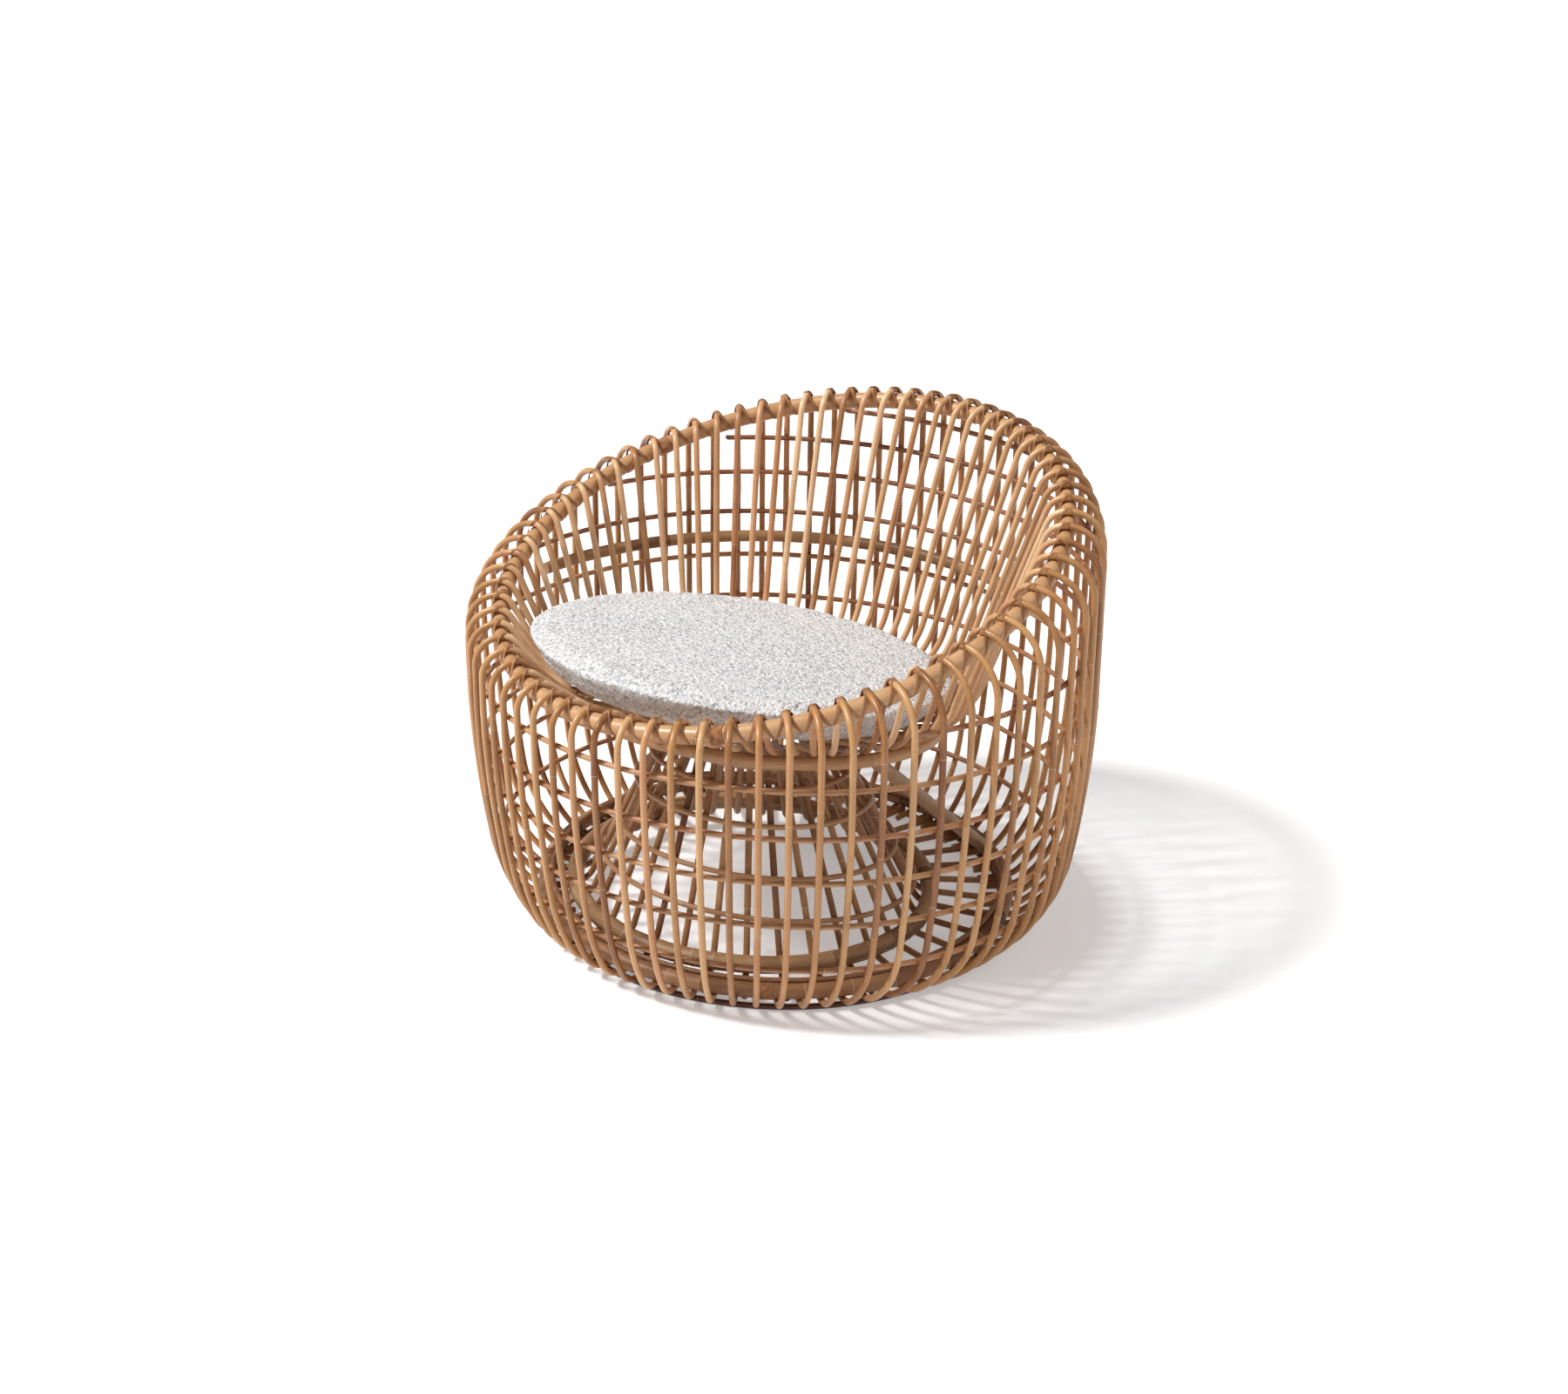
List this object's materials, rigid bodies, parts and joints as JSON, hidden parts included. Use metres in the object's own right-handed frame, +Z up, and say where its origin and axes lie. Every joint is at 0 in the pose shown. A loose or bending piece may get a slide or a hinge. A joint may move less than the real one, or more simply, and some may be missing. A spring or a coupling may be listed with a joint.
{
  "type": "rattan tub chair",
  "caption": "Round rattan tub chair: bent cane basket wall, sloping rim, funnel-shaped back and seat on a flared cane pedestal, with a loose round cushion.",
  "frame": {"origin": "on the floor, below the middle of the chair's overall box", "axes": "+Z up; the chair's low front faces -Y, its high back +Y; +X is the side at the right of someone who looks along +Y"},
  "size_m": [0.9327, 0.865, 0.6786],
  "materials": {
    "rib_cane": "peeled rattan cane, clear sealed, satin",
    "pedestal_cane": "peeled rattan cane, clear sealed, satin",
    "hoop_cane": "thin rattan cane, satin",
    "dark_hoop": "thin dark cane, satin",
    "pale_pole": "peeled rattan pole, satin",
    "base_pole": "rattan pole, greyish, satin",
    "peel": "flat rattan peel, wrapped",
    "boucle": "white looped-pile cloth",
    "filling": "foam and fibre filling"
  },
  "bodies": {
    "chair": {"back_rail": "pale_pole", "floor_hoop": "dark_hoop", "inner_base_ring": "base_pole", "inner_ribs_01": "rib_cane", "inner_ribs_02": "rib_cane", "inner_ribs_03": "rib_cane", "inner_ribs_04": "rib_cane", "inner_ribs_05": "rib_cane", "inner_ribs_06": "rib_cane", "inner_ribs_07": "rib_cane", "inner_ribs_08": "rib_cane", "inner_ribs_09": "rib_cane", "inner_ribs_10": "rib_cane", "inner_ribs_11": "rib_cane", "inner_ribs_12": "rib_cane", "outer_base_back_pole": "base_pole", "outer_base_bindings": "peel", "outer_base_front_pole": "base_pole", "outer_ribs_01": "rib_cane", "outer_ribs_02": "rib_cane", "outer_ribs_03": "rib_cane", "outer_ribs_04": "rib_cane", "outer_ribs_05": "rib_cane", "outer_ribs_06": "rib_cane", "outer_ribs_07": "rib_cane", "outer_ribs_08": "rib_cane", "outer_ribs_09": "rib_cane", "outer_ribs_10": "rib_cane", "outer_ribs_11": "rib_cane", "outer_ribs_12": "rib_cane", "pedestal_canes_01": "pedestal_cane", "pedestal_canes_02": "pedestal_cane", "pedestal_canes_03": "pedestal_cane", "pedestal_canes_04": "pedestal_cane", "pedestal_canes_05": "pedestal_cane", "pedestal_canes_06": "pedestal_cane", "pedestal_hoop_1": "hoop_cane", "pedestal_hoop_2": "hoop_cane", "pedestal_hoop_3": "hoop_cane", "pedestal_hoop_4": "hoop_cane", "rim_bindings": "peel", "rim_pole": "pale_pole", "seat_ring": "pale_pole", "strut_left": "base_pole", "strut_right": "base_pole", "throat_ring": "base_pole", "tuck_hoop": "dark_hoop", "wall_hoop_1": "hoop_cane", "wall_hoop_2": "hoop_cane", "wall_hoop_3": "hoop_cane", "wall_hoop_4": "hoop_cane", "wall_hoop_5": "hoop_cane", "wall_hoop_6": "hoop_cane", "wall_hoop_7": "hoop_cane", "wall_hoop_8": "hoop_cane", "wall_hoop_9": "hoop_cane"},
    "cushion": {"cushion_cover": "boucle", "cushion_filling": "filling"}
  },
  "joints": [
    {"name": "cushion_lift", "type": "slide", "parent": "chair", "child": "cushion", "axis": [0, 0, 1], "range_m": [0, 0.4]}
  ]
}
